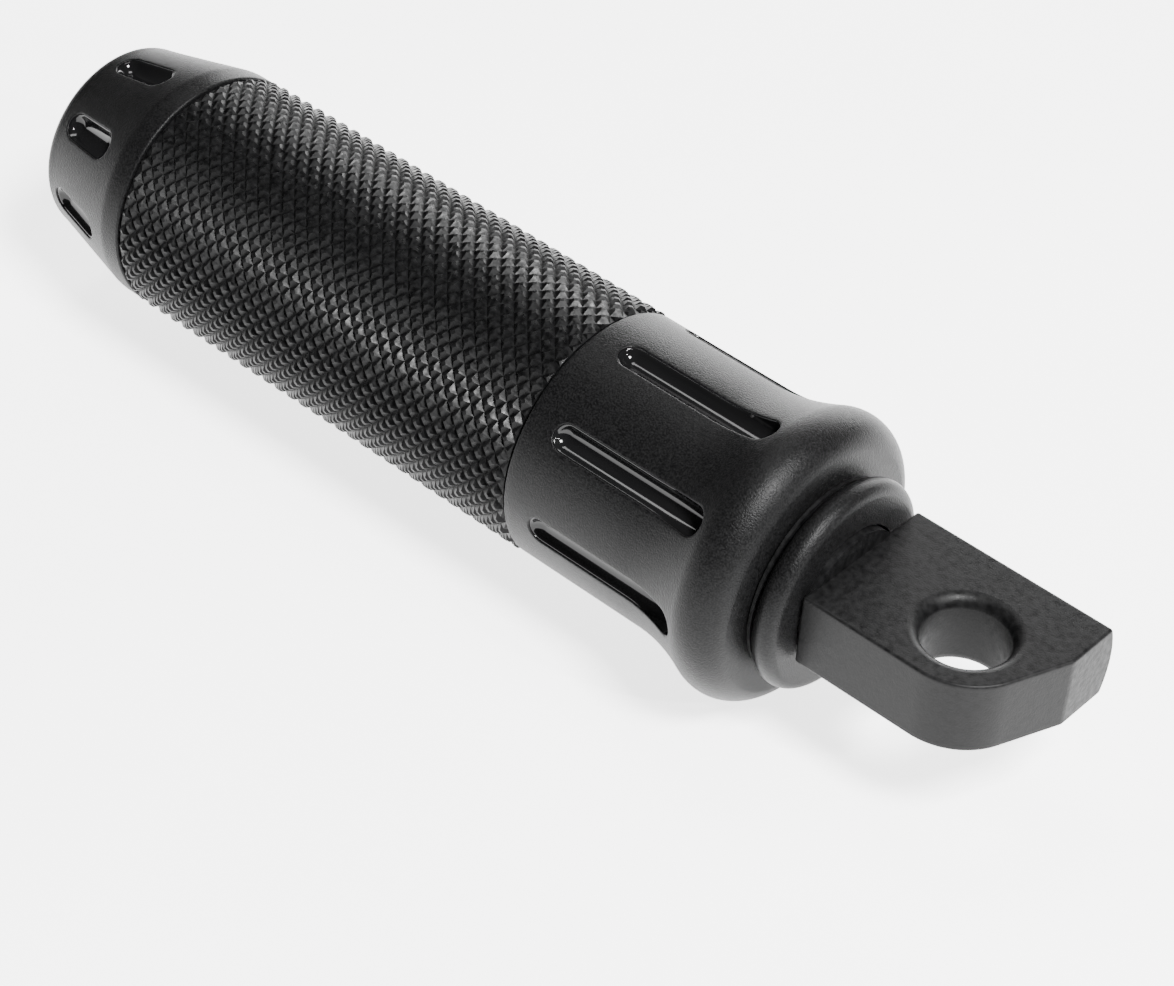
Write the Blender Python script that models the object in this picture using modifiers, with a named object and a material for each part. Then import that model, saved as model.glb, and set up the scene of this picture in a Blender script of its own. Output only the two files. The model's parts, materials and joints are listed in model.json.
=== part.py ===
"""Motorcycle foot peg with a male clevis mount, built as a bolted stack of separate pieces.

The peg lies along +X. The origin is the centre of the pivot pin's hole, half way through the
tongue. +Z is the pin's axis, and +Y is the side where the tongue's end is rounded, so that the
peg folds that way. The square corner on -Y is the fold's stop. Lengths are in metres.
"""
import math

import bmesh
import bpy
from mathutils import Matrix, Vector

MM = 0.001
GAP = 0.3 * MM                      # clearance left between pieces that touch

# Driving dimensions
BARREL_R = 15.875 * MM              # grip radius over the knurl: a 1 1/4 inch bar
PIN_BORE_R = 5.0 * MM               # clears a 3/8 inch clevis pin
PIN_RIM = 1.5 * MM                  # rounding of the bore's two rims
TONGUE_T = 9.5 * MM                 # tongue thickness: the clevis gap less its clearance
TONGUE_BAR_R = 12.4 * MM            # the edge on -Y keeps the round of the bar it is milled from
TONGUE_END_X = -10.8 * MM           # flat end, which meets the clevis when the peg is down
TONGUE_END_Y = -4.4 * MM            # where the flat end meets the slope to the round corner
TONGUE_FOLD_Y = 8.5 * MM            # edge with the large round corner
SHOULDER_X = 15.6 * MM              # where the flat tongue ends and its round stem starts
COLLAR_END_X = 52.8 * MM            # seam between collar and knurled sleeve
CAP_START_X = 117.5 * MM            # seam between knurled sleeve and end cap
CAP_END_X = 134.8 * MM

# Round stem of the tongue, with a tapped hole for the draw bolt
STEM_R = 7.9 * MM
STEM_END_X = 44.0 * MM
STEM_ROOT = 0.4 * MM                # how far the stem's root runs back over the tongue
TAP_R = 4.05 * MM
TAP_START_X = 25.5 * MM

# Draw bolt (M8 x 30 socket cap screw) and its washers
BOLT_R = 3.75 * MM
BOLT_L = 30.0 * MM
BOLT_HEAD_R = 6.5 * MM
BOLT_HEAD_L = 8.0 * MM
BOLT_HOLE_R = 4.3 * MM
HEX_R = 3.46 * MM                   # 6 mm hexagon, across corners
HEX_DEPTH = 4.5 * MM
WASHER_R = 8.0 * MM
WASHER_T = 1.6 * MM
LOCK_WASHER_R = 7.4 * MM
LOCK_WASHER_T = 2.0 * MM
LOCK_WASHER_SLIT = 1.2 * MM

# Core tube
CORE_R = 11.8 * MM
CORE_BORE_R = 8.3 * MM
CORE_START_X = STEM_END_X + 2 * GAP
CORE_WEB_X = 52.0 * MM              # face of the solid web under the bolt's head
CORE_END_X = 123.0 * MM

# Neck ring, shim and collar
NECK_START_X = SHOULDER_X + GAP
NECK_END_X = 19.1 * MM
NECK_R = 13.0 * MM
NECK_FACE_R = 11.5 * MM
SHIM_R = 12.0 * MM
SHIM_T = 0.4 * MM
COLLAR_R = 15.7 * MM
FLANGE_CENTRE = (24.1 * MM, 14.3 * MM)  # of the ellipse that rounds the flange
FLANGE_SIZE = (4.1 * MM, 3.7 * MM)
FLARE_END_X = 34.5 * MM             # the collar is straight from here to the sleeve

# End cap
CAP_R = 15.7 * MM
CAP_CONE_X = 120.3 * MM             # the cap is straight up to here, and then a cone
CAP_TIP_R = 12.7 * MM
CAP_ROUND = 1.6 * MM
DISH_R = 10.6 * MM
DISH_DEPTH = 3.6 * MM

# Ball-milled slots in the collar and the cap
SLOTS = 8
SLOT_PHASE = math.radians(6.0)      # from +Z towards +Y
SLOT_R = 1.7 * MM
SLOT_DEPTH = 1.35 * MM
COLLAR_SLOT = (26.4 * MM, 48.6 * MM)
CAP_SLOT = (123.2 * MM, 132.2 * MM)

# Dowels, key and rubber rings
DOWEL_R = 1.0 * MM
CORE_DOWEL_X = (40.3 * MM, 48.3 * MM)
CORE_DOWEL_ORBIT = 10.0 * MM
SLEEVE_DOWEL_X = (49.5 * MM, 57.0 * MM)
SLEEVE_DOWEL_ORBIT = 13.7 * MM
KEY_SIZE = (11.0 * MM, 3.0 * MM, 3.0 * MM)
KEY_X = 35.0 * MM
RING_R = 0.9 * MM                   # half the thickness of every rubber ring
STEM_RING_X = 23.0 * MM
RATTLE_RING_X = (66.0 * MM, 104.0 * MM)
CAP_RING_X = 116.0 * MM

STEPS = 40                          # facets round a large turned piece
SMALL_STEPS = 20                    # and round a pin
ARC_STEPS = 6
FLARE_STEPS = 5


def clear_scene():
    for obj in list(bpy.data.objects):
        bpy.data.objects.remove(obj, do_unlink=True)


def new_collection(name):
    coll = bpy.data.collections.new(name)
    bpy.context.scene.collection.children.link(coll)
    return coll


def new_material(name, colour, roughness, metallic):
    mat = bpy.data.materials.new(name)
    mat.use_nodes = True
    bsdf = mat.node_tree.nodes["Principled BSDF"]
    bsdf.inputs["Base Color"].default_value = (*colour, 1.0)
    bsdf.inputs["Roughness"].default_value = roughness
    bsdf.inputs["Metallic"].default_value = metallic
    return mat


def arc(centre, size, start, end, steps=ARC_STEPS):
    """Points (x, r) on an ellipse's arc, with the angles in degrees from +X."""
    points = []
    for i in range(steps + 1):
        angle = math.radians(start + (end - start) * i / steps)
        points.append((centre[0] + size[0] * math.cos(angle),
                       centre[1] + size[1] * math.sin(angle)))
    return points


class Builder:
    """Makes objects in one collection, with one material."""

    def __init__(self, coll, mat=None):
        self.coll = coll
        self.mat = mat

    def add(self, name, data):
        obj = bpy.data.objects.new(name, data)
        self.coll.objects.link(obj)
        if self.mat is not None:
            data.materials.append(self.mat)
        else:
            obj.hide_render = True
            obj.display_type = "WIRE"
        return obj

    def turned(self, name, profile, closed=True, steps=STEPS, along_x=True):
        """Turn a profile of (x, r) points, which runs down its outer side from high x to low x.

        A closed profile comes back along its bore. An open one starts and ends on the axis.
        """
        mesh = bpy.data.meshes.new(name)
        verts = [(r, 0.0, x) for x, r in profile]
        edges = [(i, i + 1) for i in range(len(verts) - 1)]
        if closed:
            edges.append((len(verts) - 1, 0))
        mesh.from_pydata(verts, edges, [])
        obj = self.add(name, mesh)
        if along_x:
            obj.rotation_euler = (0.0, math.pi / 2, 0.0)
        screw = obj.modifiers.new("Turn", "SCREW")
        screw.steps = steps
        screw.render_steps = steps
        screw.use_merge_vertices = True
        screw.merge_threshold = 0.00001
        return obj

    def tube(self, name, x0, x1, r_in, r_out):
        return self.turned(name, [(x1, r_out), (x0, r_out), (x0, r_in), (x1, r_in)])

    def rod(self, name, x0, x1, radius, centre=(0.0, 0.0), chamfer=0.25 * MM, steps=SMALL_STEPS):
        """A pin parallel to X whose axis is at centre = (y, z)."""
        profile = [(x1, 0.0), (x1, radius - chamfer), (x1 - chamfer, radius),
                   (x0 + chamfer, radius), (x0, radius - chamfer), (x0, 0.0)]
        obj = self.turned(name, profile, closed=False, steps=steps)
        obj.location = (0.0, *centre)
        return obj

    def ring(self, name, x, radius):
        profile = arc((x, radius), (RING_R, RING_R), 90.0, 450.0, 8)[:-1]
        return self.turned(name, profile, steps=SMALL_STEPS)

    def box(self, name, size, centre):
        mesh = bpy.data.meshes.new(name)
        bm = bmesh.new()
        bmesh.ops.create_cube(bm, size=1.0, matrix=Matrix.Diagonal((*size, 1.0)))
        bm.to_mesh(mesh)
        bm.free()
        obj = self.add(name, mesh)
        obj.location = centre
        return obj


def boolean(obj, other, operation="DIFFERENCE"):
    mod = obj.modifiers.new(operation.title() + " " + other.name, "BOOLEAN")
    mod.operation = operation
    mod.solver = "EXACT"
    mod.object = other


def on_orbit(radius, angle):
    """The (y, z) of a point at radius from the axis, at angle from +Z towards +Y."""
    return radius * math.sin(angle), radius * math.cos(angle)


def shade_round(obj, angle=math.radians(32.0)):
    """Shade a turned piece smooth, with its edges kept sharp."""
    depsgraph = bpy.context.evaluated_depsgraph_get()
    mesh = bpy.data.meshes.new_from_object(obj.evaluated_get(depsgraph))
    obj.modifiers.clear()
    old = obj.data
    name = old.name
    obj.data = mesh
    bpy.data.meshes.remove(old)
    mesh.name = name
    mesh.shade_smooth()
    mesh.set_sharp_from_angle(angle=angle)


# --- the mount's steel parts ---------------------------------------------------------------------

def tongue_outline():
    """The flat tongue seen along the pin: one square corner, and one round about the pin.

    The round runs into a slope that is tangent to it and ends at the flat end's edge.
    """
    radius = TONGUE_FOLD_Y
    reach = math.hypot(TONGUE_END_X, TONGUE_END_Y)
    to_edge = math.atan2(TONGUE_END_Y, TONGUE_END_X) + math.tau
    tangent = math.degrees(to_edge - math.acos(radius / reach))
    points = [(TONGUE_END_X, TONGUE_END_Y), (TONGUE_END_X, -TONGUE_BAR_R),
              (SHOULDER_X, -TONGUE_BAR_R), (SHOULDER_X, TONGUE_FOLD_Y)]
    return points + arc((0.0, 0.0), (radius, radius), 90.0, tangent, 10)


def pin_bore_profile():
    """A cutter for the pin's hole that also rounds both rims."""
    half = TONGUE_T / 2
    past = half + 1.0 * MM
    centre_z = half - PIN_RIM + 0.05 * MM
    rim_r = PIN_BORE_R + PIN_RIM
    top = arc((centre_z, rim_r), (PIN_RIM, PIN_RIM), 0.0, -90.0, 6)
    bottom = [(-z, r) for z, r in reversed(top)]
    return [(past, 0.0), (past, rim_r)] + top + bottom + [(-past, rim_r), (-past, 0.0)]


def make_mount_tongue(build, cutters):
    curve = bpy.data.curves.new("tongue_outline", "CURVE")
    curve.dimensions = "2D"
    curve.fill_mode = "BOTH"
    curve.extrude = TONGUE_T / 2
    outline = tongue_outline()
    spline = curve.splines.new("POLY")
    spline.points.add(len(outline) - 1)
    for point, (x, y) in zip(spline.points, outline):
        point.co = (x, y, 0.0, 1.0)
    spline.use_cyclic_u = True
    plate = cutters.add("tongue_plate", curve)
    depsgraph = bpy.context.evaluated_depsgraph_get()
    mesh = bpy.data.meshes.new_from_object(plate.evaluated_get(depsgraph))
    bm = bmesh.new()
    bm.from_mesh(mesh)
    bmesh.ops.remove_doubles(bm, verts=bm.verts, dist=0.00001)
    bm.to_mesh(mesh)
    bm.free()
    bpy.data.objects.remove(plate, do_unlink=True)
    mesh.materials.clear()
    tongue = build.add("mount_tongue", mesh)
    bar = cutters.rod("bar", TONGUE_END_X - 5 * MM, SHOULDER_X + 5 * MM, TONGUE_BAR_R, steps=STEPS)
    boolean(tongue, bar, "INTERSECT")

    stem = cutters.rod("stem", SHOULDER_X - STEM_ROOT, STEM_END_X, STEM_R, steps=STEPS)
    boolean(tongue, stem, "UNION")
    bore = cutters.turned("pin_bore", pin_bore_profile(), closed=False, along_x=False)
    boolean(tongue, bore)
    boolean(tongue, cutters.rod("tapped_hole", TAP_START_X, STEM_END_X + 5 * MM, TAP_R))
    boolean(tongue, cutters.tube("stem_ring_groove", STEM_RING_X - RING_R - GAP,
                                 STEM_RING_X + RING_R + GAP, STEM_R - 2.1 * MM, STEM_R + MM))
    boolean(tongue, key_slot(cutters))
    shade_round(tongue)


def key_slot(cutters):
    slot = bpy.data.objects.get("key_slot")
    if slot is None:
        size = [side + 2 * GAP for side in KEY_SIZE]
        slot = cutters.box("key_slot", size, (KEY_X, 0.0, STEM_R))
    return slot


def make_fasteners(build, cutters):
    washer_x = CORE_WEB_X + GAP
    lock_x = washer_x + WASHER_T + GAP
    head_x = lock_x + LOCK_WASHER_T + GAP
    build.tube("flat_washer", washer_x, washer_x + WASHER_T, BOLT_HOLE_R, WASHER_R)

    lock = build.tube("lock_washer", lock_x, lock_x + LOCK_WASHER_T, BOLT_HOLE_R, LOCK_WASHER_R)
    slit = cutters.box("washer_slit", (4 * LOCK_WASHER_T, LOCK_WASHER_SLIT, 2 * LOCK_WASHER_R),
                       (lock_x + LOCK_WASHER_T / 2, 0.0, LOCK_WASHER_R))
    slit.rotation_euler = (0.0, 0.0, math.radians(20.0))
    boolean(lock, slit)

    head_end = head_x + BOLT_HEAD_L
    edge = 0.6 * MM
    profile = [(head_end, 0.0), (head_end, BOLT_HEAD_R - edge), (head_end - edge, BOLT_HEAD_R),
               (head_x, BOLT_HEAD_R), (head_x, BOLT_R), (head_x - BOLT_L + edge, BOLT_R),
               (head_x - BOLT_L, BOLT_R - edge), (head_x - BOLT_L, 0.0)]
    bolt = build.turned("draw_bolt", profile, closed=False)
    socket = cutters.rod("hex_socket", head_end - HEX_DEPTH, head_end + HEX_DEPTH, HEX_R, steps=6)
    boolean(bolt, socket)

    for number, side in enumerate((0.0, math.pi), 1):
        build.rod(f"core_dowel_{number}", *CORE_DOWEL_X, DOWEL_R,
                  on_orbit(CORE_DOWEL_ORBIT, math.pi / 2 + side), steps=16)
        build.rod(f"sleeve_dowel_{number}", *SLEEVE_DOWEL_X, DOWEL_R,
                  on_orbit(SLEEVE_DOWEL_ORBIT, sleeve_dowel_angle() + side), steps=16)
    build.box("stem_key", KEY_SIZE, (KEY_X, 0.0, STEM_R))


def sleeve_dowel_angle():
    """The dowels stand in the walls between two slots."""
    return SLOT_PHASE + math.pi / SLOTS


def dowel_holes(cutters):
    """Cutters for both pairs of dowels, slightly larger than the dowels."""
    core, sleeve = [], []
    for number, side in enumerate((0.0, math.pi), 1):
        core.append(cutters.rod(f"core_dowel_hole_{number}", CORE_DOWEL_X[0] - GAP,
                                CORE_DOWEL_X[1] + GAP, DOWEL_R + GAP,
                                on_orbit(CORE_DOWEL_ORBIT, math.pi / 2 + side), steps=16))
        sleeve.append(cutters.rod(f"sleeve_dowel_hole_{number}", SLEEVE_DOWEL_X[0] - GAP,
                                  SLEEVE_DOWEL_X[1] + GAP, DOWEL_R + GAP,
                                  on_orbit(SLEEVE_DOWEL_ORBIT, sleeve_dowel_angle() + side),
                                  steps=16))
    return core, sleeve


def make_core_tube(build, cutters, holes):
    edge = 0.5 * MM
    profile = [(CORE_END_X, CORE_R - edge), (CORE_END_X - edge, CORE_R)]
    for x in reversed(RATTLE_RING_X):
        half = RING_R + GAP
        floor = CORE_R - 2 * RING_R - GAP
        profile += [(x + half, CORE_R), (x + half, floor), (x - half, floor), (x - half, CORE_R)]
    profile += [(CORE_START_X + edge, CORE_R), (CORE_START_X, CORE_R - edge),
                (CORE_START_X, BOLT_HOLE_R), (CORE_WEB_X, BOLT_HOLE_R),
                (CORE_WEB_X, CORE_BORE_R), (CORE_END_X, CORE_BORE_R)]
    core = build.turned("core_tube", profile)
    for hole in holes:
        boolean(core, hole)


# --- the black outer parts -----------------------------------------------------------------------

def slot_cutters(cutters, prefix, ends, radius_at):
    """Ball-ended cutters spaced round the axis, following the surface between the two ends."""
    start, end = ends[0] + SLOT_R, ends[1] - SLOT_R
    lift = SLOT_R - SLOT_DEPTH
    r0, r1 = radius_at(start) + lift, radius_at(end) + lift
    length = math.hypot(end - start, r1 - r0)
    profile = arc((length / 2, 0.0), (SLOT_R, SLOT_R), 0.0, 90.0, 3)
    profile += arc((-length / 2, 0.0), (SLOT_R, SLOT_R), 90.0, 180.0, 3)
    profile[0] = (length / 2 + SLOT_R, 0.0)
    profile[-1] = (-length / 2 - SLOT_R, 0.0)
    tilt = math.atan2(r1 - r0, end - start)
    out = []
    for i in range(SLOTS):
        angle = SLOT_PHASE + math.tau * i / SLOTS
        cutter = cutters.turned(f"{prefix}_slot_{i}", profile, closed=False, steps=12)
        turn = Matrix.Rotation(-angle, 4, "X")
        place = Matrix.Translation(Vector(((start + end) / 2, 0.0, (r0 + r1) / 2)))
        lean = Matrix.Rotation(math.pi / 2 - tilt, 4, "Y")
        cutter.matrix_world = turn @ place @ lean
        out.append(cutter)
    return out


def collar_profile():
    """Outer side from the sleeve seam to the flange, then back along the bore."""
    edge = 0.4 * MM
    outer = [(COLLAR_END_X - GAP, COLLAR_R - edge), (COLLAR_END_X - GAP - edge, COLLAR_R)]
    flange = arc(FLANGE_CENTRE, FLANGE_SIZE, 64.0, 168.0, 8)
    join_x, join_r = flange[0]
    for i in range(FLARE_STEPS):
        t = i / FLARE_STEPS
        x = FLARE_END_X + (join_x - FLARE_END_X) * t
        outer.append((x, COLLAR_R + (join_r - COLLAR_R) * t * t))
    face_x = flange[-1][0]
    bore = STEM_R + GAP
    seat = CORE_R + GAP
    seat_x = CORE_START_X - GAP
    return outer + flange + [(face_x, bore), (seat_x, bore), (seat_x, seat),
                             (COLLAR_END_X - GAP, seat)]


def make_collar(build, cutters, holes):
    collar = build.turned("collar", collar_profile())
    for cutter in slot_cutters(cutters, "collar", COLLAR_SLOT, lambda x: COLLAR_R):
        boolean(collar, cutter)
    for hole in holes:
        boolean(collar, hole)
    boolean(collar, key_slot(cutters))
    shade_round(collar)


def make_neck_parts(ring_build, shim_build):
    """The bead between the tongue and the flange, and the shim behind it."""
    middle = (NECK_START_X + NECK_END_X) / 2
    half = (NECK_END_X - NECK_START_X) / 2
    profile = arc((middle, NECK_FACE_R), (half, NECK_R - NECK_FACE_R), 0.0, 180.0, 8)
    bore = STEM_R + GAP
    profile += [(NECK_START_X, bore), (NECK_END_X, bore)]
    ring = ring_build.turned("neck_ring", profile)
    shade_round(ring)
    shim_build.tube("neck_shim", NECK_END_X + GAP, NECK_END_X + GAP + SHIM_T, bore, SHIM_R)


def make_sleeve(build, cutters, holes):
    edge = 0.5 * MM
    start, end = COLLAR_END_X, CAP_START_X - GAP
    bore = CORE_R + GAP
    recess_r = bore + 2 * RING_R + GAP
    recess_x = CAP_RING_X - RING_R - GAP
    profile = [(end, BARREL_R - edge), (end - edge, BARREL_R), (start + edge, BARREL_R),
               (start, BARREL_R - edge), (start, bore), (recess_x, bore), (recess_x, recess_r),
               (end, recess_r)]
    sleeve = build.turned("knurled_sleeve", profile)
    for hole in holes:
        boolean(sleeve, hole)
    shade_round(sleeve)


def cap_radius(x):
    """The cap's side is straight at first, and then a cone."""
    t = (x - CAP_CONE_X) / (CAP_END_X - CAP_ROUND - CAP_CONE_X)
    return CAP_R + (CAP_TIP_R - CAP_R) * max(0.0, t)


def make_end_cap(build, cutters):
    """A cone with a rounded rim and a dished face, bored to screw onto the core tube."""
    tip_x = CAP_END_X - CAP_ROUND
    slope = math.degrees(math.atan2(CAP_R - CAP_TIP_R, tip_x - CAP_CONE_X))
    sphere_r = (DISH_R ** 2 + DISH_DEPTH ** 2) / (2 * DISH_DEPTH)
    half_angle = math.degrees(math.asin(DISH_R / sphere_r))
    centre_x = CAP_END_X + sphere_r - DISH_DEPTH
    dish = arc((centre_x, 0.0), (sphere_r, sphere_r), 180.0, 180.0 - half_angle, 4)
    rim = arc((tip_x, CAP_TIP_R - CAP_ROUND), (CAP_ROUND, CAP_ROUND), 8.0, 90.0 - slope, 4)
    edge = 0.4 * MM
    bore = CORE_R + GAP
    bore_end = CORE_END_X + GAP
    profile = dish + rim + [(CAP_CONE_X, CAP_R), (CAP_START_X + edge, CAP_R),
                            (CAP_START_X, CAP_R - edge), (CAP_START_X, bore),
                            (bore_end, bore), (bore_end, 0.0)]
    cap = build.turned("end_cap", profile, closed=False)
    for cutter in slot_cutters(cutters, "cap", CAP_SLOT, cap_radius):
        boolean(cap, cutter)
    shade_round(cap)


def make_rings(build):
    build.ring("stem_seal_ring", STEM_RING_X, STEM_R - RING_R)
    for name, x in zip(("inner", "outer"), RATTLE_RING_X):
        build.ring(f"rattle_ring_{name}", x, CORE_R - RING_R)
    build.ring("cap_seal_ring", CAP_RING_X, CORE_R + GAP + RING_R)


def main():
    clear_scene()
    peg = new_collection("foot_peg")
    cutters = Builder(new_collection("cutters"))
    black = new_material("black_anodised", (0.012, 0.012, 0.013), 0.42, 0.9)
    knurl = new_material("black_knurl", (0.012, 0.012, 0.013), 0.5, 0.9)
    dark_steel = new_material("black_oxide_steel", (0.03, 0.03, 0.031), 0.45, 0.9)
    steel = new_material("plain_steel", (0.55, 0.55, 0.56), 0.3, 1.0)
    rubber = new_material("rubber", (0.02, 0.02, 0.02), 0.8, 0.0)

    core_holes, sleeve_holes = dowel_holes(cutters)
    make_mount_tongue(Builder(peg, dark_steel), cutters)
    make_neck_parts(Builder(peg, black), Builder(peg, steel))
    make_collar(Builder(peg, black), cutters, core_holes + sleeve_holes)
    make_sleeve(Builder(peg, knurl), cutters, sleeve_holes)
    make_end_cap(Builder(peg, black), cutters)
    make_core_tube(Builder(peg, steel), cutters, core_holes)
    make_fasteners(Builder(peg, steel), cutters)
    make_rings(Builder(peg, rubber))


main()
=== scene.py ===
import json
import math

import bmesh
import bpy
from mathutils import Matrix, Vector


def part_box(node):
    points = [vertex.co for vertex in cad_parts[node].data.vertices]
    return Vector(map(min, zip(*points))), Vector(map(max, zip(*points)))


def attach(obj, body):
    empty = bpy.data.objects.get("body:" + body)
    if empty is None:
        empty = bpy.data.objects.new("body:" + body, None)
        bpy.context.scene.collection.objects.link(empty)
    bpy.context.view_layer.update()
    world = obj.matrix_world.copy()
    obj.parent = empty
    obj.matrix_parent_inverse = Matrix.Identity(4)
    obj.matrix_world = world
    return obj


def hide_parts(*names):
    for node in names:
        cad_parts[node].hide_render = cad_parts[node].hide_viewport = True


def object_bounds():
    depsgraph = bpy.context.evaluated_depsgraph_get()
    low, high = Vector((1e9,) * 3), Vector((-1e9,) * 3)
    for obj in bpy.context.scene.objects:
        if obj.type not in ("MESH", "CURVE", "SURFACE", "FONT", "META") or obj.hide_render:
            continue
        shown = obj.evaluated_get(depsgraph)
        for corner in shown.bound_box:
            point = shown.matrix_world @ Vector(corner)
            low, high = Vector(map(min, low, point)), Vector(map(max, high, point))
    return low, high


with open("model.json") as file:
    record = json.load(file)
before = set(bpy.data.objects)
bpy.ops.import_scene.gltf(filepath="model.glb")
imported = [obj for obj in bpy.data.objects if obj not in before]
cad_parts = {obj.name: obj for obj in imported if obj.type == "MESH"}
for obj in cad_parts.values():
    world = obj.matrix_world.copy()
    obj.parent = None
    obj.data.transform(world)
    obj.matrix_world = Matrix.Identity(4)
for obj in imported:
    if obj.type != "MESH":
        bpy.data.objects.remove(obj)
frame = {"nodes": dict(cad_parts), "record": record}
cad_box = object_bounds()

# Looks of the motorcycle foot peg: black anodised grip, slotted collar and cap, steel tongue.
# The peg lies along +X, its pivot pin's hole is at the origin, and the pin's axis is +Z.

MM = 0.001

# Places of the CAD pieces
SLEEVE_LOW, SLEEVE_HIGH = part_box("knurled_sleeve")
COLLAR_LOW, COLLAR_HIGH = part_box("collar")
CAP_LOW, CAP_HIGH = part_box("end_cap")
NECK_LOW, NECK_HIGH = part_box("neck_ring")
TONGUE_LOW, TONGUE_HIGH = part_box("mount_tongue")
CORE_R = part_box("core_tube")[1].z

GRIP_R = SLEEVE_HIGH.z
GAP = 0.3 * MM
BORE_R = CORE_R + GAP

# Tongue
TONGUE_T = 9.5 * MM
TONGUE_BAR_R = 12.4 * MM           # round of the bar that the -Y edge keeps
TONGUE_END_Y = -4.4 * MM            # where the flat end meets the slope to the round
TONGUE_FOLD_Y = 8.5 * MM
SHOULDER_X = 15.6 * MM
STEM_R = 7.9 * MM
TAP_R = 4.05 * MM
TAP_START_X = 25.5 * MM
PIN_BORE_R = 5.0 * MM
PIN_RIM = 1.5 * MM
TONGUE_EDGE = 0.35 * MM

# Neck ring and collar
NECK_FACE_R = 11.5 * MM
COLLAR_R = 15.7 * MM
FLANGE_CENTRE = (24.1 * MM, 14.3 * MM)  # of the ellipse that rounds the flange
FLANGE_SIZE = (4.1 * MM, 3.7 * MM)
FLARE_JOIN = 64.0                   # where the ellipse runs into the flare, in degrees
FLANGE_FACE = 168.0                 # and where it ends at the face towards the bead
FLARE_END_X = 34.5 * MM

# End cap
CAP_CONE_X = 120.3 * MM             # the cap is straight up to here, and then a cone
CAP_TIP_R = 12.7 * MM
CAP_ROUND = 1.6 * MM
DISH_R = 10.6 * MM
DISH_DEPTH = 3.6 * MM

# Ball-milled slots
SLOTS = 8
SLOT_PHASE = math.radians(6.0)      # from +Z towards +Y
SLOT_R = 1.7 * MM
SLOT_DEPTH = 1.35 * MM
SLOT_FILLET = 0.22 * MM
COLLAR_SLOT = (26.4 * MM, 48.6 * MM)
CAP_SLOT = (123.2 * MM, 132.2 * MM)

# Knurl: grooves of two opposite helices
KNURL_STARTS = 42
KNURL_PITCH_X = 2.09 * MM           # along the axis, between grooves of one helix
KNURL_DEPTH = 0.52 * MM
KNURL_TIP = 0.30                    # flat top's share of a diamond's width

AROUND = 14                         # facets across one slot's sector
ALONG = 26                          # facets along one slot


# --- mesh helpers ----------------------------------------------------------------------------------

def arc(centre, size, start, end, steps):
    """Points (x, r) on an ellipse's arc, with the angles in degrees from +X."""
    points = []
    for i in range(steps + 1):
        angle = math.radians(start + (end - start) * i / steps)
        points.append((centre[0] + size[0] * math.cos(angle),
                       centre[1] + size[1] * math.sin(angle)))
    return points


def rounded(corner, before, after, radius, steps=4):
    """A rounded corner between the directions to the points before and after it."""
    corner, before, after = Vector(corner), Vector(before), Vector(after)
    to_before = (before - corner).normalized()
    to_after = (after - corner).normalized()
    half = to_before.angle(to_after) / 2
    reach = radius / math.tan(half)
    centre = corner + (to_before + to_after).normalized() * radius / math.sin(half)
    first, last = corner + to_before * reach - centre, corner + to_after * reach - centre
    points = []
    for i in range(steps + 1):
        spoke = first.lerp(last, i / steps).normalized() * radius
        points.append(tuple(centre + spoke))
    return points


def on_peg(x, r, angle):
    """A point at radius r from the peg's axis, at an angle from +Z towards +Y."""
    return Vector((x, r * math.sin(angle), r * math.cos(angle)))


def new_piece(name, bm, materials, slot, *replaced):
    """Turn a bmesh into a piece that rides on the peg and stands for CAD nodes."""
    bmesh.ops.remove_doubles(bm, verts=bm.verts, dist=0.002 * MM)
    bmesh.ops.recalc_face_normals(bm, faces=bm.faces)
    mesh = bpy.data.meshes.new(name)
    bm.to_mesh(mesh)
    bm.free()
    obj = bpy.data.objects.new(name, mesh)
    bpy.context.scene.collection.objects.link(obj)
    for material in materials:
        mesh.materials.append(material)
    mesh.shade_smooth()
    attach(obj, "root")
    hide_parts(*replaced)
    return obj


def keep_edges(obj, degrees):
    obj.data.set_sharp_from_angle(angle=math.radians(degrees))


def add_row(bm, points):
    return [bm.verts.new(point) for point in points]


def bridge(bm, row, other, material=0):
    """Quads between two closed rows of vertices."""
    count = len(row)
    for i in range(count):
        j = (i + 1) % count
        face = bm.faces.new((row[i], row[j], other[j], other[i]))
        face.material_index = material


def turned(bm, profile, steps, phase=0.0):
    """Turn an open profile of (x, r) points about the peg's axis."""
    rows = []
    for x, r in profile:
        angles = [phase + math.tau * i / steps for i in range(steps)]
        rows.append(add_row(bm, [on_peg(x, r, angle) for angle in angles]))
    for row, other in zip(rows, rows[1:]):
        bridge(bm, row, other)


# --- slotted sectors -------------------------------------------------------------------------------

def slot_rings():
    """(offset from the slot's spine, kind, amount) for each ring, from the outside in."""
    rings = []
    for i in range(5):
        t = math.pi / 2 * (1 - i / 4)
        rings.append((SLOT_R + SLOT_FILLET * (1 - math.cos(t)), "fillet", 1 - math.sin(t)))
    for i in range(9):
        angle = math.pi / 2 * i / 8
        rings.append((SLOT_R * math.cos(angle), "floor", math.sin(angle)))
    return rings


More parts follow.
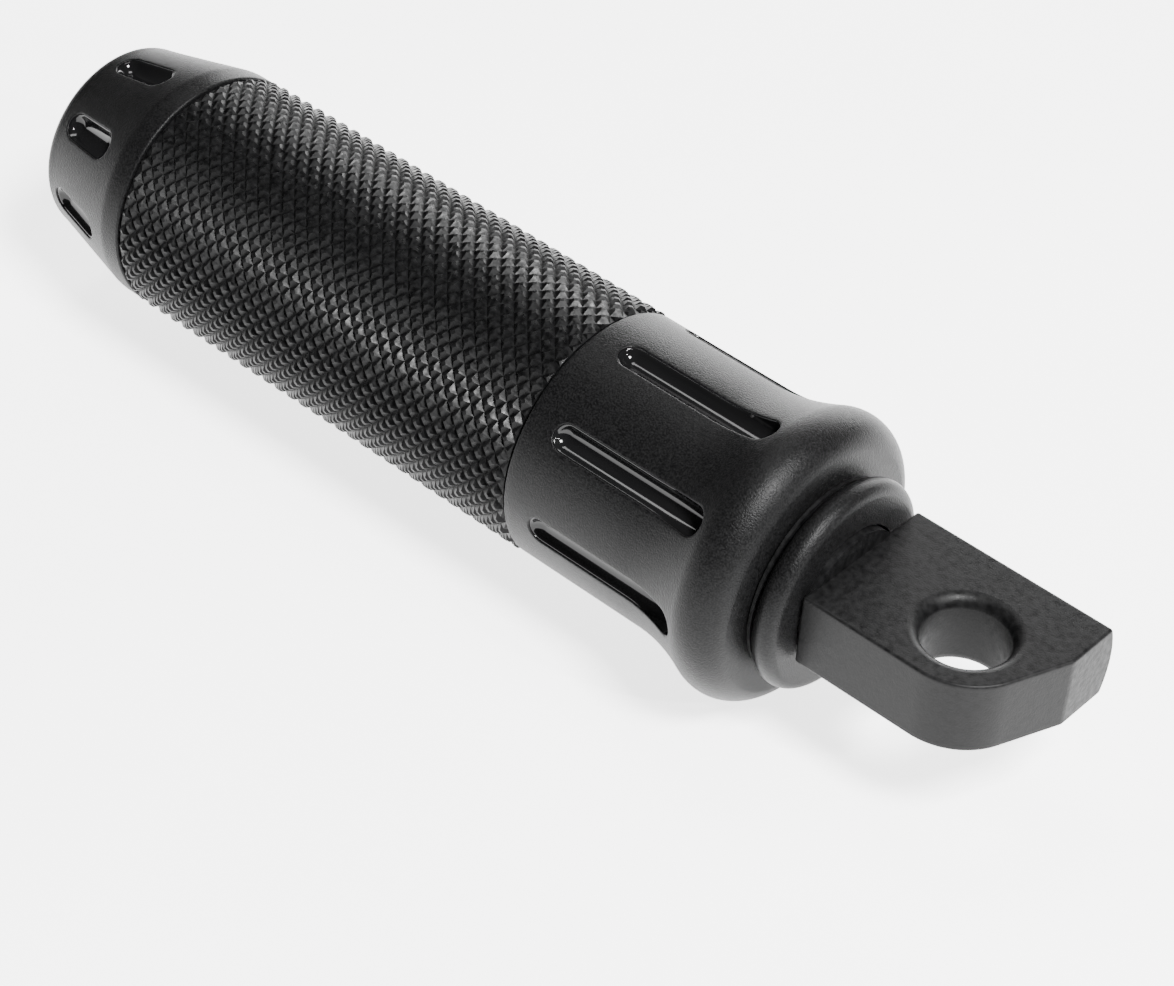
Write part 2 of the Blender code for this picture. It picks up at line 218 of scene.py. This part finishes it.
def slotted_band(bm, x_range, slot, surface, axis_radius):
    """A band of the outer surface with ball-milled slots, as one clean ring of sectors.

    surface(x) is the band's radius, and axis_radius(x) is where the cutter's axis runs.
    """
    x_low, x_high = x_range
    half = math.pi / SLOTS
    spine = (slot[0] + SLOT_R, slot[1] - SLOT_R)
    mean_r = surface(slot[1])
    edge = mean_r * half
    frame_points, spokes = [], []
    for i in range(AROUND):
        s = i / AROUND
        frame_points.append((x_high, -edge + 2 * edge * s))
        spokes.append((spine[1], math.pi * (s - 0.5)))
    for i in range(ALONG):
        s = i / ALONG
        frame_points.append((x_high + (x_low - x_high) * s, edge))
        spokes.append((spine[1] + (spine[0] - spine[1]) * s, math.pi / 2))
    for i in range(AROUND):
        s = i / AROUND
        frame_points.append((x_low, edge - 2 * edge * s))
        spokes.append((spine[0], math.pi * (s + 0.5)))
    for i in range(ALONG):
        s = i / ALONG
        frame_points.append((x_low + (x_high - x_low) * s, -edge))
        spokes.append((spine[0] + (spine[1] - spine[0]) * s, math.pi * 1.5))

    outer = SLOT_R + SLOT_FILLET
    blend_steps = 9
    for number in range(SLOTS):
        middle = SLOT_PHASE + math.tau * number / SLOTS
        rows = []
        for k in range(blend_steps):
            t = (k / blend_steps)
            row = []
            for (fx, fs), (cx, turn) in zip(frame_points, spokes):
                x = fx + (cx + outer * math.cos(turn) - fx) * t
                s = fs + (outer * math.sin(turn) - fs) * t
                row.append(on_peg(x, surface(x), middle + s / mean_r))
            rows.append(add_row(bm, row))
        for offset, kind, amount in slot_rings():
            row = []
            for cx, turn in spokes:
                x = cx + offset * math.cos(turn)
                s = offset * math.sin(turn)
                if kind == "fillet":
                    r = surface(x) - SLOT_FILLET * amount
                else:
                    rim = surface(x) - SLOT_FILLET * (1.05 + 0.1 * amount)
                    r = min(axis_radius(cx) - SLOT_R * amount, rim)
                row.append(on_peg(x, r, middle + s / mean_r))
            rows.append(add_row(bm, row))
        for k, (row, other) in enumerate(zip(rows, rows[1:])):
            bridge(bm, row, other, material=1 if k > blend_steps + 2 else 0)


# --- the pieces ------------------------------------------------------------------------------------

def collar_surface(x):
    """Outer radius of the collar: straight, then flared up to the flange."""
    join_x, join_r = arc(FLANGE_CENTRE, FLANGE_SIZE, FLARE_JOIN, 90.0, 1)[0]
    t = max(0.0, (FLARE_END_X - x) / (FLARE_END_X - join_x))
    return COLLAR_R + (join_r - COLLAR_R) * t * t


def make_collar(materials):
    bm = bmesh.new()
    x_low, x_high = COLLAR_SLOT[0] - 0.4 * MM, COLLAR_SLOT[1] + 1.2 * MM
    face_x, seam_x = COLLAR_LOW.x, COLLAR_HIGH.x
    seat_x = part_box("core_tube")[0].x - GAP
    flange = arc(FLANGE_CENTRE, FLANGE_SIZE, FLANGE_FACE, FLARE_JOIN, 32)
    profile = [(x_high, COLLAR_R)]
    profile += [(x_high + (seam_x - x_high) * 0.5, COLLAR_R)]
    profile += rounded((seam_x, COLLAR_R), (x_high, COLLAR_R), (seam_x, BORE_R), 0.3 * MM)
    profile += [(seam_x, BORE_R), (seat_x, BORE_R), (seat_x, STEM_R + GAP)]
    profile += [(face_x, STEM_R + GAP)] + flange + [(x_low, collar_surface(x_low))]
    turned(bm, profile, SLOTS * AROUND, SLOT_PHASE - math.pi / SLOTS)
    lift = SLOT_R - SLOT_DEPTH
    slotted_band(bm, (x_low, x_high), COLLAR_SLOT, collar_surface, lambda x: COLLAR_R + lift)
    collar = new_piece("collar_body", bm, materials, "black_anodised", "collar")
    keep_edges(collar, 50)


def cap_surface(x):
    """The cap's side is straight at first, and then a cone."""
    t = (x - CAP_CONE_X) / (CAP_HIGH.x - CAP_ROUND - CAP_CONE_X)
    return COLLAR_R + (CAP_TIP_R - COLLAR_R) * max(0.0, t)


def make_cap(materials):
    bm = bmesh.new()
    tip_x = CAP_HIGH.x - CAP_ROUND
    slope = math.degrees(math.atan2(COLLAR_R - CAP_TIP_R, tip_x - CAP_CONE_X))
    sphere_r = (DISH_R ** 2 + DISH_DEPTH ** 2) / (2 * DISH_DEPTH)
    half_angle = math.degrees(math.asin(DISH_R / sphere_r))
    centre_x = CAP_HIGH.x + sphere_r - DISH_DEPTH
    dish = arc((centre_x, 0.0), (sphere_r, sphere_r), 180.0, 180.0 - half_angle, 20)
    rim = arc((tip_x, CAP_TIP_R - CAP_ROUND), (CAP_ROUND, CAP_ROUND), 4.0, 90.0 - slope, 12)
    x_low, x_high = CAP_SLOT[0] - 1.4 * MM, CAP_SLOT[1] + 0.6 * MM
    start = CAP_LOW.x
    shoulder = (CAP_CONE_X, COLLAR_R)
    profile = [(x_low, cap_surface(x_low))]
    profile += rounded(shoulder, (x_low, cap_surface(x_low)), (start, COLLAR_R), 4.0 * MM, 6)
    profile += rounded((start, COLLAR_R), shoulder, (start, BORE_R), 0.3 * MM)
    bore_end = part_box("core_tube")[1].x + GAP
    profile += [(start, BORE_R), (bore_end, BORE_R), (bore_end, 0.0)]
    turned(bm, profile, SLOTS * AROUND, SLOT_PHASE - math.pi / SLOTS)
    turned(bm, dish[:-1] + dish_edge(dish, rim) + rim[1:] + [(x_high, cap_surface(x_high))],
           SLOTS * AROUND, SLOT_PHASE - math.pi / SLOTS)
    lift = SLOT_R - SLOT_DEPTH
    slotted_band(bm, (x_low, x_high), CAP_SLOT, cap_surface, lambda x: cap_surface(x) + lift)
    cap = new_piece("cap_body", bm, materials, "black_anodised", "end_cap")
    keep_edges(cap, 50)


def dish_edge(dish, rim):
    """The soft crest where the dish meets the rim."""
    return rounded(dish[-1], dish[-3], rim[1], 0.25 * MM)


def make_neck(material):
    bm = bmesh.new()
    middle = (NECK_LOW.x + NECK_HIGH.x) / 2
    size = ((NECK_HIGH.x - NECK_LOW.x) / 2, NECK_HIGH.z - NECK_FACE_R)
    crown = arc((middle, NECK_FACE_R), size, 0.0, 180.0, 28)
    bore = STEM_R + GAP
    turned(bm, crown + [(NECK_LOW.x, bore), (NECK_HIGH.x, bore), crown[0]], 112)
    neck = new_piece("neck_bead", bm, [material], "black_anodised", "neck_ring")
    keep_edges(neck, 50)


def make_sleeve(material):
    """A diamond knurl: flat-topped pyramids between two crossing sets of helical grooves."""
    bm = bmesh.new()
    start, end = SLEEVE_LOW.x, SLEEVE_HIGH.x
    step_x = KNURL_PITCH_X / 2
    step_a = math.pi / KNURL_STARTS
    columns = 2 * KNURL_STARTS
    rows = math.ceil((end - start) / step_x) + 2
    chamfer = 0.5 * MM
    floor_r = GRIP_R - KNURL_DEPTH

    def point(u, v, r):
        x = start + (u - 1) * step_x
        near_end = max(0.0, min(x - start, end - x))
        return on_peg(x, min(r, floor_r + (GRIP_R - floor_r) * near_end / chamfer), v * step_a)

    for i in range(rows + 1):
        for j in range(columns):
            if (i + j) % 2 == 0:
                continue
            net = add_row(bm, [point(i + du, j + dv, floor_r)
                               for du, dv in ((1, 0), (0, 1), (-1, 0), (0, -1))])
            tip = add_row(bm, [point(i + KNURL_TIP * du, j + KNURL_TIP * dv, GRIP_R)
                               for du, dv in ((1, 0), (0, 1), (-1, 0), (0, -1))])
            bridge(bm, net, tip)
            bm.faces.new(tip)
    bmesh.ops.remove_doubles(bm, verts=bm.verts, dist=0.002 * MM)
    for x, normal in ((start, -1.0), (end, 1.0)):
        bmesh.ops.bisect_plane(bm, geom=bm.verts[:] + bm.edges[:] + bm.faces[:], dist=0.0005 * MM,
                               plane_co=(x, 0, 0), plane_no=(normal, 0, 0), clear_outer=True)
    rims = [edge for edge in bm.edges if edge.is_boundary]
    grown = bmesh.ops.extrude_edge_only(bm, edges=rims)["geom"]
    for vert in grown:
        if isinstance(vert, bmesh.types.BMVert):
            across = Vector((0.0, vert.co.y, vert.co.z)).normalized() * BORE_R
            vert.co = (vert.co.x, across.y, across.z)
    turned(bm, [(start, BORE_R), (end, BORE_R)], columns)
    sleeve = new_piece("knurled_grip", bm, [material], "black_knurl", "knurled_sleeve")
    sleeve.data.shade_flat()


def tongue_outline():
    """The flat tongue seen along the pin: one square corner, and one round about the pin.

    The round runs into a slope that is tangent to it and ends at the flat end's edge.
    """
    low = TONGUE_LOW
    radius = TONGUE_FOLD_Y
    reach = math.hypot(low.x, TONGUE_END_Y)
    to_edge = math.atan2(TONGUE_END_Y, low.x) + math.tau
    tangent = math.degrees(to_edge - math.acos(radius / reach))
    points = [(low.x, TONGUE_END_Y), (low.x, -TONGUE_BAR_R),
              (SHOULDER_X, -TONGUE_BAR_R), (SHOULDER_X, TONGUE_FOLD_Y)]
    return points + arc((0.0, 0.0), (radius, radius), 90.0, tangent, 40)


def tongue_side(outline, z):
    """The outline at a height, with its -Y edge on the bar's round."""
    edge_y = -math.sqrt(TONGUE_BAR_R ** 2 - z ** 2)
    return [(x, max(y, edge_y), z) for x, y in outline]


def cutter_from(bm, name):
    bmesh.ops.remove_doubles(bm, verts=bm.verts, dist=0.002 * MM)
    bmesh.ops.recalc_face_normals(bm, faces=bm.faces)
    mesh = bpy.data.meshes.new(name)
    bm.to_mesh(mesh)
    bm.free()
    return bpy.data.objects.new(name, mesh)


def applied(obj, other, operation):
    """Apply a boolean with another object, which is then removed."""
    bpy.context.scene.collection.objects.link(other)
    mod = obj.modifiers.new(operation, "BOOLEAN")
    mod.operation = operation
    mod.solver = "EXACT"
    mod.object = other
    depsgraph = bpy.context.evaluated_depsgraph_get()
    mesh = bpy.data.meshes.new_from_object(obj.evaluated_get(depsgraph))
    obj.modifiers.clear()
    obj.data = mesh
    bpy.data.objects.remove(other)


def make_tongue(material):
    bm = bmesh.new()
    half = TONGUE_T / 2
    outline = tongue_outline()
    steps = 16
    rows = [add_row(bm, tongue_side(outline, half - TONGUE_T * i / steps))
            for i in range(steps + 1)]
    for row, other in zip(rows, rows[1:]):
        bridge(bm, row, other)
    bm.faces.new(rows[0])
    bm.faces.new(rows[-1])
    bmesh.ops.recalc_face_normals(bm, faces=bm.faces)
    sharp = [edge for edge in bm.edges if edge.calc_face_angle(0.0) > math.radians(18.0)]
    bmesh.ops.bevel(bm, geom=sharp, offset=TONGUE_EDGE, offset_type="OFFSET", segments=4,
                    profile=0.5, affect="EDGES")
    tongue = new_piece("tongue_plate", bm, [material], "tongue_steel", "mount_tongue")

    stem = bmesh.new()
    profile = [(SHOULDER_X - 0.4 * MM, 0.0), (SHOULDER_X - 0.4 * MM, STEM_R),
               (TONGUE_HIGH.x, STEM_R), (TONGUE_HIGH.x, TAP_R), (TAP_START_X, TAP_R),
               (TAP_START_X, 0.0)]
    turned(stem, profile, 96)
    applied(tongue, cutter_from(stem, "stem"), "UNION")

    bore = bmesh.new()
    past = half + 1.0 * MM
    rim_r = PIN_BORE_R + PIN_RIM
    rim = arc((half - PIN_RIM, rim_r), (PIN_RIM, PIN_RIM), 0.0, -90.0, 8)
    side = [(past, 0.0), (past, rim_r)] + rim
    profile = side + [(-z, r) for z, r in reversed(side)]
    turned(bore, profile, 128)
    cutter = cutter_from(bore, "bore")
    cutter.data.transform(Matrix.Rotation(-math.pi / 2, 4, "Y"))
    applied(tongue, cutter, "DIFFERENCE")
    tongue.data.shade_smooth()
    keep_edges(tongue, 35)
    weighted = tongue.modifiers.new("Flat faces", "WEIGHTED_NORMAL")
    weighted.keep_sharp = True
    weighted.weight = 100


# --- materials -------------------------------------------------------------------------------------

class Shader:
    """A Principled material with a few node helpers."""

    def __init__(self, name):
        self.mat = bpy.data.materials.new(name)
        self.mat.use_nodes = True
        self.tree = self.mat.node_tree
        self.bsdf = self.tree.nodes["Principled BSDF"]
        self.place = self.node("ShaderNodeTexCoord").outputs["Object"]

    def node(self, kind, **values):
        node = self.tree.nodes.new(kind)
        for key, value in values.items():
            setattr(node, key, value)
        return node

    def link(self, output, target):
        self.tree.links.new(output, target)

    def noise(self, scale, detail=2.0, stretch=(1, 1, 1)):
        """Noise whose scale is in features per metre."""
        mapping = self.node("ShaderNodeMapping")
        mapping.inputs["Scale"].default_value = stretch
        self.link(self.place, mapping.inputs["Vector"])
        noise = self.node("ShaderNodeTexNoise")
        noise.inputs["Scale"].default_value = scale
        noise.inputs["Detail"].default_value = detail
        self.link(mapping.outputs["Vector"], noise.inputs["Vector"])
        return noise.outputs["Fac"]

    def ramp(self, factor, low, high, start=0.3, end=0.7):
        """Map a factor between two grey values or two colours."""
        ramp = self.node("ShaderNodeMapRange")
        ramp.inputs["From Min"].default_value = start
        ramp.inputs["From Max"].default_value = end
        ramp.inputs["To Min"].default_value = low
        ramp.inputs["To Max"].default_value = high
        self.link(factor, ramp.inputs["Value"])
        return ramp.outputs["Result"]

    def tint(self, factor, low, high, start=0.3, end=0.7):
        ramp = self.node("ShaderNodeValToRGB")
        ramp.color_ramp.elements[0].position = start
        ramp.color_ramp.elements[1].position = end
        ramp.color_ramp.elements[0].color = (*low, 1.0)
        ramp.color_ramp.elements[1].color = (*high, 1.0)
        self.link(factor, ramp.inputs["Fac"])
        return ramp.outputs["Color"]

    def bump(self, *layers):
        """Layers are (height, distance in metres, strength)."""
        before = None
        for height, distance, strength in layers:
            bump = self.node("ShaderNodeBump")
            bump.inputs["Distance"].default_value = distance
            bump.inputs["Strength"].default_value = strength
            self.link(height, bump.inputs["Height"])
            if before is not None:
                self.link(before, bump.inputs["Normal"])
            before = bump.outputs["Normal"]
        self.link(before, self.bsdf.inputs["Normal"])

    def finish(self, metallic=0.0, specular=0.5):
        self.bsdf.inputs["Metallic"].default_value = metallic
        self.bsdf.inputs["Specular IOR Level"].default_value = specular
        return self.mat


def anodised_material():
    """Fine blasted aluminium under a black anodised film."""
    shader = Shader("black_anodised")
    grain = shader.noise(5200, 3.0)
    shader.link(shader.tint(grain, (0.0020, 0.0020, 0.0021), (0.0075, 0.0075, 0.0077), 0.4, 0.62),
                shader.bsdf.inputs["Base Color"])
    shader.link(shader.ramp(grain, 0.30, 0.44), shader.bsdf.inputs["Roughness"])
    shader.bump((grain, 0.060 * MM, 1.0))
    return shader.finish(specular=0.10)


def slot_material():
    """The milled floor of a slot is smoother than the blasted face."""
    shader = Shader("milled_slot")
    lines = shader.noise(900, 2.0, (0.1, 1.0, 1.0))
    shader.link(shader.tint(lines, (0.0035, 0.0035, 0.0037), (0.0050, 0.0050, 0.0052)),
                shader.bsdf.inputs["Base Color"])
    shader.link(shader.ramp(lines, 0.07, 0.12), shader.bsdf.inputs["Roughness"])
    shader.bump((lines, 0.006 * MM, 0.3))
    return shader.finish(specular=0.30)


def knurl_material():
    """The same film on cut diamonds, with a roughness that varies at random."""
    shader = Shader("black_knurl")
    grain = shader.noise(1500, 2.0)
    shader.link(shader.tint(grain, (0.0020, 0.0020, 0.0021), (0.0060, 0.0060, 0.0062)),
                shader.bsdf.inputs["Base Color"])
    shader.link(shader.ramp(grain, 0.22, 0.52), shader.bsdf.inputs["Roughness"])
    shader.bump((grain, 0.03 * MM, 0.6))
    return shader.finish(specular=0.10)


def tongue_material():
    """Black oxide steel with a matt mottled grain."""
    shader = Shader("tongue_steel")
    mottle = shader.noise(1300, 4.0)
    grain = shader.noise(4200, 3.0)
    shader.link(shader.tint(mottle, (0.0022, 0.0022, 0.0023), (0.0075, 0.0075, 0.0077)),
                shader.bsdf.inputs["Base Color"])
    shader.link(shader.ramp(mottle, 0.38, 0.54), shader.bsdf.inputs["Roughness"])
    shader.bump((grain, 0.025 * MM, 0.7), (mottle, 0.04 * MM, 0.5))
    return shader.finish(specular=0.12)


def steel_material():
    """Zinc plated steel."""
    shader = Shader("plain_steel")
    lines = shader.noise(1500, 3.0, (0.1, 1.0, 1.0))
    shader.link(shader.tint(lines, (0.48, 0.48, 0.49), (0.60, 0.60, 0.61)),
                shader.bsdf.inputs["Base Color"])
    shader.link(shader.ramp(lines, 0.26, 0.40), shader.bsdf.inputs["Roughness"])
    shader.bump((lines, 0.004 * MM, 0.4))
    return shader.finish(metallic=1.0)


def rubber_material():
    shader = Shader("rubber")
    grain = shader.noise(3000, 3.0)
    shader.link(shader.tint(grain, (0.014, 0.014, 0.014), (0.024, 0.024, 0.023)),
                shader.bsdf.inputs["Base Color"])
    shader.link(shader.ramp(grain, 0.7, 0.9), shader.bsdf.inputs["Roughness"])
    shader.bump((grain, 0.02 * MM, 0.5))
    return shader.finish(specular=0.3)


def paint_node(name, material):
    """Give a carried-over CAD node a material in every slot."""
    data = frame["nodes"][name].data
    data.materials.clear()
    data.materials.append(material)


# --- stage, light and camera -------------------------------------------------------------------------

def make_floor():
    bm = bmesh.new()
    size = 3.0
    bm.faces.new(add_row(bm, [(-size, -size, 0), (size, -size, 0), (size, size, 0),
                              (-size, size, 0)]))
    mesh = bpy.data.meshes.new("floor")
    bm.to_mesh(mesh)
    bm.free()
    floor = bpy.data.objects.new("floor", mesh)
    floor.location.z = cad_box[0].z - 0.1 * MM
    bpy.context.scene.collection.objects.link(floor)
    shader = Shader("floor")
    grain = shader.noise(30, 2.0)
    tone = shader.tint(grain, (0.86, 0.86, 0.86), (0.88, 0.88, 0.88))
    shader.link(tone, shader.bsdf.inputs["Base Color"])
    shader.link(tone, shader.bsdf.inputs["Emission Color"])
    shader.bsdf.inputs["Emission Strength"].default_value = 3.4
    shader.bsdf.inputs["Roughness"].default_value = 0.9
    mesh.materials.append(shader.finish(specular=0.1))


def area_light(name, place, target, size, power):
    data = bpy.data.lights.new(name, "AREA")
    data.shape = "RECTANGLE"
    data.size, data.size_y = size
    data.energy = power
    light = bpy.data.objects.new(name, data)
    light.location = place
    light.rotation_euler = (Vector(target) - Vector(place)).to_track_quat("-Z", "Y").to_euler()
    bpy.context.scene.collection.objects.link(light)


def make_lights():
    world = bpy.data.worlds.new("studio")
    world.use_nodes = True
    world.node_tree.nodes["Background"].inputs["Color"].default_value = (1.0, 1.0, 1.0, 1.0)
    world.node_tree.nodes["Background"].inputs["Strength"].default_value = 0.08
    bpy.context.scene.world = world
    middle = (0.06, 0.0, 0.0)
    area_light("key", (-0.37, 0.10, 0.68), (0.024, 0.0, 0.0), (0.20, 0.20), 22.0)
    area_light("top", (0.35, -0.20, 0.80), middle, (0.3, 0.3), 3.0)
    area_light("lamp", (-0.60, 0.0, 0.44), (0.04, 0.0, 0.0), (0.03, 0.03), 3.0)
    area_light("rim", (0.35, -0.75, 0.20), middle, (0.7, 0.3), 9.0)


def make_camera():
    """The photograph's viewing angle: from the fold side, above the tongue, slightly rolled."""
    data = bpy.data.cameras.new("camera")
    data.sensor_width = 36.0
    data.lens = 96.2
    data.clip_start, data.clip_end = 0.01, 20.0
    camera = bpy.data.objects.new("camera", data)
    place = Vector((-124.2, 212.8, 229.5)) * MM
    target = Vector((49.57, 4.66, -4.15)) * MM
    roll = math.radians(4.05)
    look = (target - place).to_track_quat("-Z", "Y").to_matrix().to_4x4()
    camera.matrix_world = Matrix.Translation(place) @ look @ Matrix.Rotation(roll, 4, "Z")
    bpy.context.scene.collection.objects.link(camera)
    bpy.context.scene.camera = camera


def main():
    black, oxide = anodised_material(), tongue_material()
    slotted = [black, slot_material()]
    make_collar(slotted)
    make_cap(slotted)
    make_neck(black)
    make_sleeve(knurl_material())
    make_tongue(oxide)
    looks = {"plain_steel": steel_material(), "rubber": rubber_material(), "tongue_steel": oxide}
    remodelled = ("collar", "end_cap", "neck_ring", "knurled_sleeve", "mount_tongue")
    for node in frame["record"]["subparts"]:
        if node["node"] not in remodelled:
            paint_node(node["node"], looks.get(node["material_slot"], black))
    make_floor()
    make_lights()
    make_camera()


main()
